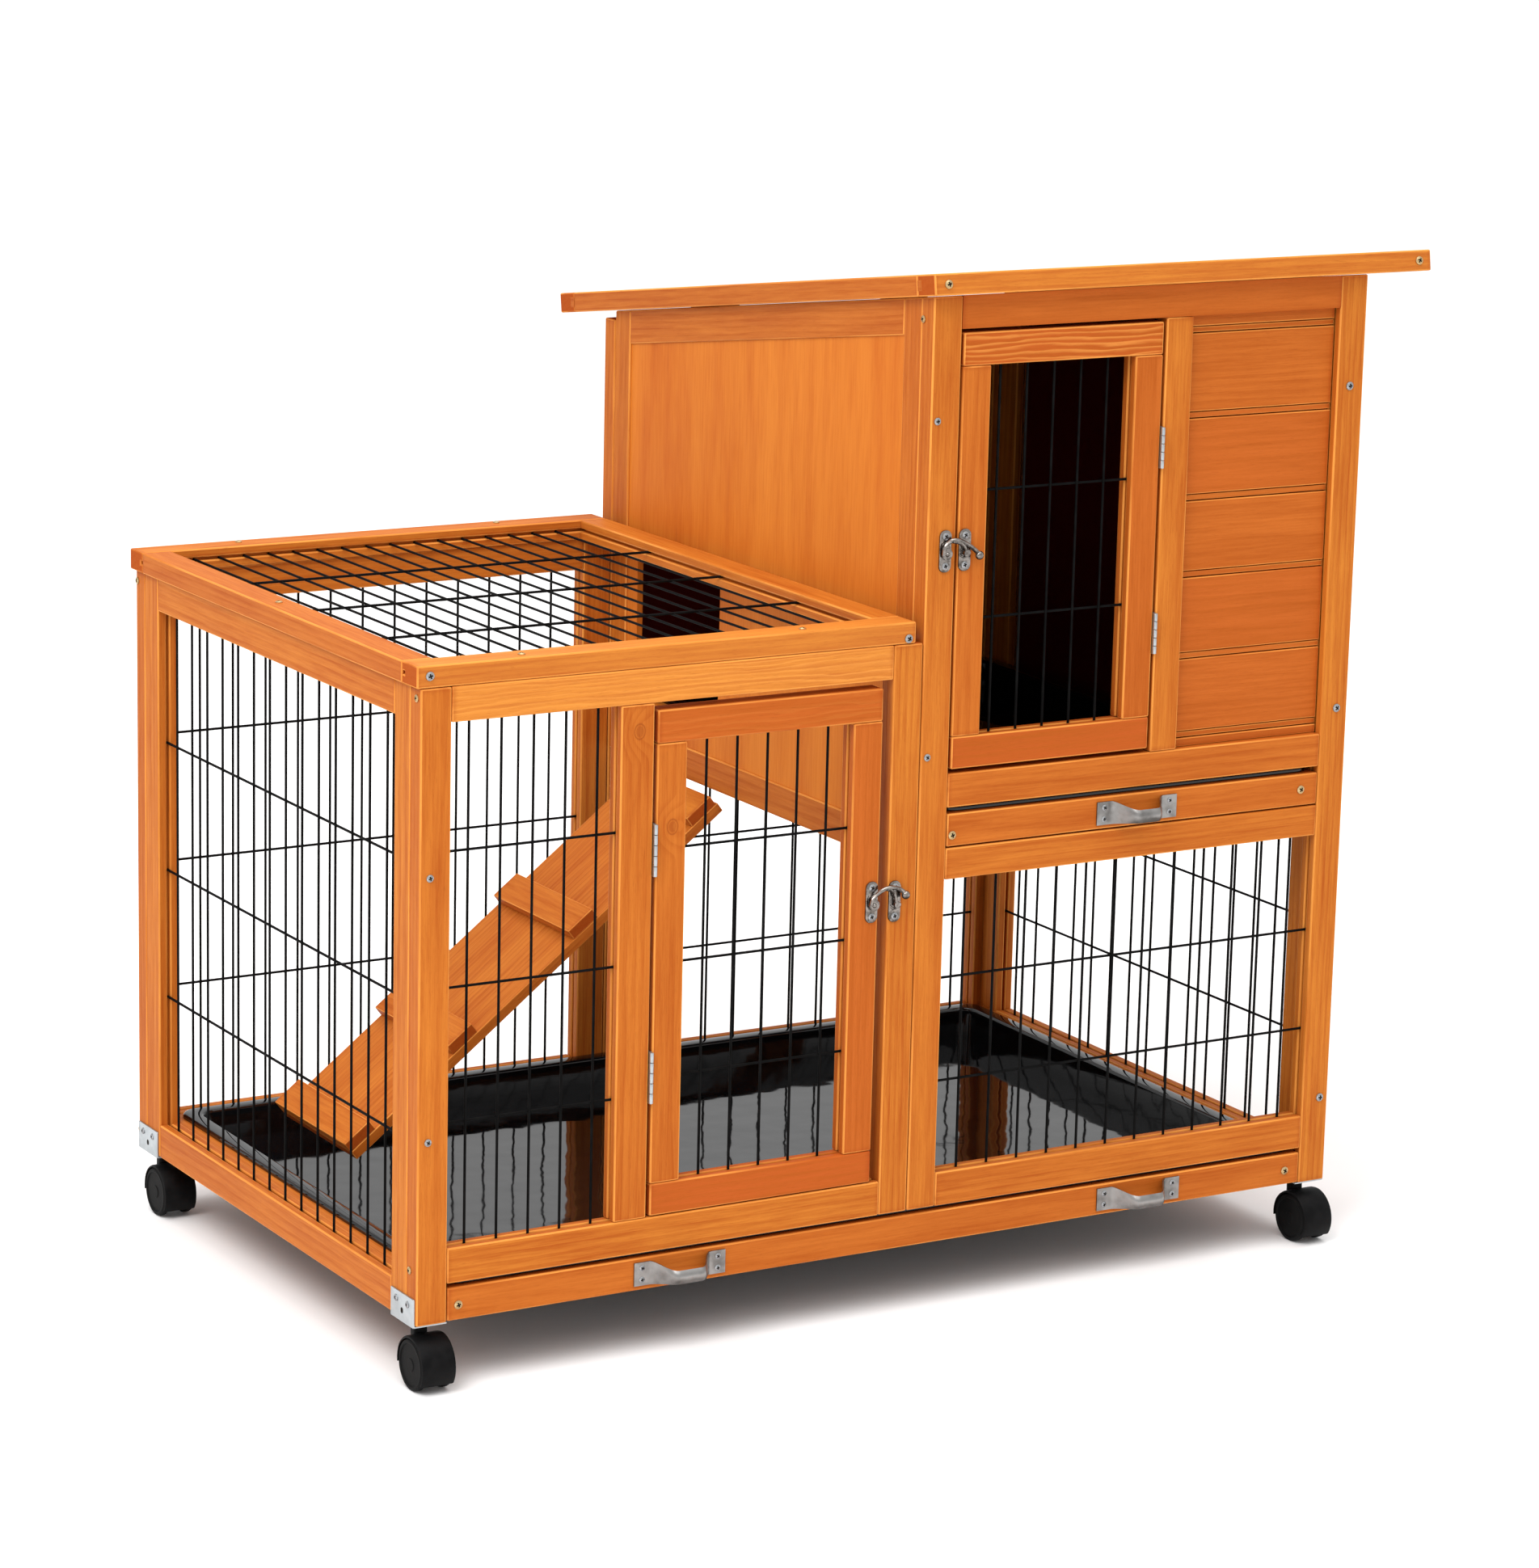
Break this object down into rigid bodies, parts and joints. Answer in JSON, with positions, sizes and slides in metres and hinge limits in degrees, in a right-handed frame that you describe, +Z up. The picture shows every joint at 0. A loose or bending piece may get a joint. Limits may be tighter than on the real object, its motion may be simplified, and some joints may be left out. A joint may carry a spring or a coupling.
{
  "type": "rabbit hutch",
  "caption": "Wooden rabbit hutch on casters: wire run with door and lid, two-storey house with hinged roof, ramp, latched doors and pull-out trays.",
  "frame": {"origin": "on the floor under the middle of the whole object's bounding box", "axes": "+X to the right along the front, +Y to the back, +Z up; the doors and drawer handles face -Y"},
  "size_m": [1.034, 0.7056, 0.9512],
  "materials": {
    "fir": "honey-stained planed fir",
    "red_fir": "honey-stained planed fir, redder boards",
    "ply": "stained plywood",
    "wire": "black powder-coated wire",
    "tray": "glossy black moulded plastic",
    "zinc": "zinc-plated",
    "chrome": "bright plated",
    "black_metal": "black coated steel",
    "caster": "black moulded plastic"
  },
  "bodies": {
    "hutch": {"run_front_frame": "fir", "run_side_frame": "fir", "run_back_frame": "fir", "lid_frame": "fir", "tower_front_frame": "fir", "tower_left_frame": "fir", "tower_right_frame": "fir", "tower_back_frame": "fir", "front_slats": "fir", "lower_ledge": "fir", "upper_ledge": "fir", "ramp": "fir", "left_wall_panel": "ply", "right_wall_panel": "ply", "back_wall_panel": "ply", "run_front_mesh": "wire", "run_side_mesh": "wire", "run_back_mesh": "wire", "lid_mesh": "wire", "tower_front_mesh": "wire", "tower_right_mesh": "wire", "tower_back_mesh": "wire", "caster_bracket_fl": "zinc", "caster_bracket_fr": "zinc", "caster_bracket_bl": "zinc", "caster_bracket_br": "zinc", "run_hinge_upper": "zinc", "run_hinge_lower": "zinc", "house_hinge_upper": "zinc", "house_hinge_lower": "zinc", "run_latch_catch": "chrome", "house_latch_catch": "chrome", "roof_hinge_left": "black_metal", "roof_hinge_right": "black_metal"},
    "run_door": {"run_door_frame": "red_fir", "run_door_mesh": "wire", "run_latch_plate": "chrome"},
    "run_hook": {"run_latch_hook": "chrome"},
    "house_door": {"house_door_frame": "red_fir", "house_door_mesh": "wire", "house_latch_plate": "chrome"},
    "house_hook": {"house_latch_hook": "chrome"},
    "roof": {"roof_frame": "fir", "roof_panel": "ply"},
    "lower_drawer": {"lower_tray": "tray", "lower_tray_front": "fir", "lower_handle_left": "zinc", "lower_handle_right": "zinc"},
    "upper_drawer": {"upper_tray": "tray", "upper_tray_front": "fir", "upper_handle": "zinc"},
    "swivel_fl": {"caster_hood_fl": "caster"},
    "wheels_fl": {"caster_wheels_fl": "caster"},
    "swivel_fr": {"caster_hood_fr": "caster"},
    "wheels_fr": {"caster_wheels_fr": "caster"},
    "swivel_bl": {"caster_hood_bl": "caster"},
    "wheels_bl": {"caster_wheels_bl": "caster"},
    "swivel_br": {"caster_hood_br": "caster"},
    "wheels_br": {"caster_wheels_br": "caster"}
  },
  "joints": [
    {"name": "run_door_hinge", "type": "hinge", "parent": "hutch", "child": "run_door", "pos_m": [-0.2868, -0.33071, 0.356], "axis": [0, 0, -1], "range_deg": [0, 170]},
    {"name": "run_latch_pivot", "type": "hinge", "parent": "run_door", "child": "run_hook", "pos_m": [-0.064, -0.33151, 0.388], "axis": [0, -1, 0], "range_deg": [0, 100]},
    {"name": "house_door_hinge", "type": "hinge", "parent": "hutch", "child": "house_door", "pos_m": [0.2304, -0.33071, 0.7], "axis": [0, 0, 1], "range_deg": [0, 170]},
    {"name": "house_latch_pivot", "type": "hinge", "parent": "house_door", "child": "house_hook", "pos_m": [0.021, -0.33151, 0.701], "axis": [0, 1, 0], "range_deg": [0, 100]},
    {"name": "roof_hinge", "type": "hinge", "parent": "hutch", "child": "roof", "pos_m": [0.2465, 0.27439, 0.8396], "axis": [-1, 0, 0], "range_deg": [0, 84]},
    {"name": "lower_drawer_slide", "type": "slide", "parent": "hutch", "child": "lower_drawer", "axis": [0, -1, 0], "range_m": [0, 0.5]},
    {"name": "upper_drawer_slide", "type": "slide", "parent": "hutch", "child": "upper_drawer", "axis": [0, -1, 0], "range_m": [0, 0.5]},
    {"name": "swivel_fl_turn", "type": "hinge", "parent": "hutch", "child": "swivel_fl", "pos_m": [-0.498, -0.30351, 0.05], "axis": [0, 0, 1], "continuous": true},
    {"name": "wheels_fl_spin", "type": "hinge", "parent": "swivel_fl", "child": "wheels_fl", "pos_m": [-0.498, -0.31851, 0.023], "axis": [1, 0, 0], "continuous": true},
    {"name": "swivel_fr_turn", "type": "hinge", "parent": "hutch", "child": "swivel_fr", "pos_m": [0.4395, -0.30351, 0.05], "axis": [0, 0, 1], "continuous": true},
    {"name": "wheels_fr_spin", "type": "hinge", "parent": "swivel_fr", "child": "wheels_fr", "pos_m": [0.4395, -0.31851, 0.023], "axis": [1, 0, 0], "continuous": true},
    {"name": "swivel_bl_turn", "type": "hinge", "parent": "hutch", "child": "swivel_bl", "pos_m": [-0.498, 0.24649, 0.05], "axis": [0, 0, 1], "continuous": true},
    {"name": "wheels_bl_spin", "type": "hinge", "parent": "swivel_bl", "child": "wheels_bl", "pos_m": [-0.498, 0.23149, 0.023], "axis": [1, 0, 0], "continuous": true},
    {"name": "swivel_br_turn", "type": "hinge", "parent": "hutch", "child": "swivel_br", "pos_m": [0.4395, 0.24649, 0.05], "axis": [0, 0, 1], "continuous": true},
    {"name": "wheels_br_spin", "type": "hinge", "parent": "swivel_br", "child": "wheels_br", "pos_m": [0.4395, 0.23149, 0.023], "axis": [1, 0, 0], "continuous": true}
  ]
}
